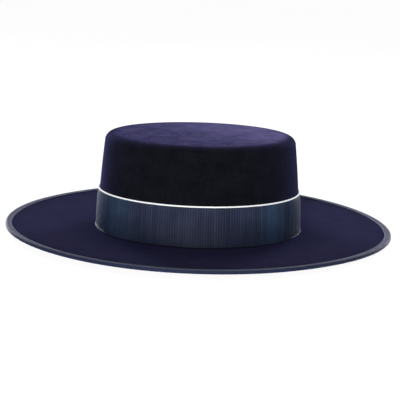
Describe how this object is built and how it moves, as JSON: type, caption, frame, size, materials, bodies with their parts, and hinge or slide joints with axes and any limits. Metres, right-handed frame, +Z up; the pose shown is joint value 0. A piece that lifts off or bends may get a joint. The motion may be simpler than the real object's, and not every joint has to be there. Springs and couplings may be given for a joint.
{
  "type": "gaucho hat",
  "caption": "Wide-brimmed gaucho hat in navy felt: low flat-topped oval crown, ribbed ribbon band with white piping, ribbon-bound brim edge, open below for a head.",
  "frame": {"origin": "middle of the head opening, on the surface that the brim's level underside rests on", "axes": "+Z up, out of the crown's top; +Y towards the back of the hat and -Y towards its front; +X towards the wearer's left, where the band laps"},
  "size_m": [0.3486, 0.3776, 0.0952],
  "materials": {
    "felt": "matt navy felt with a short brushed nap",
    "ribbon": "ribbed navy ribbon with a soft sheen",
    "cord": "white woven cord",
    "binding": "ribbed slate blue ribbon with a soft sheen"
  },
  "bodies": {
    "root": {"felt_body": "felt", "ribbon_band": "ribbon", "piping": "cord", "brim_binding": "binding"}
  },
  "joints": []
}
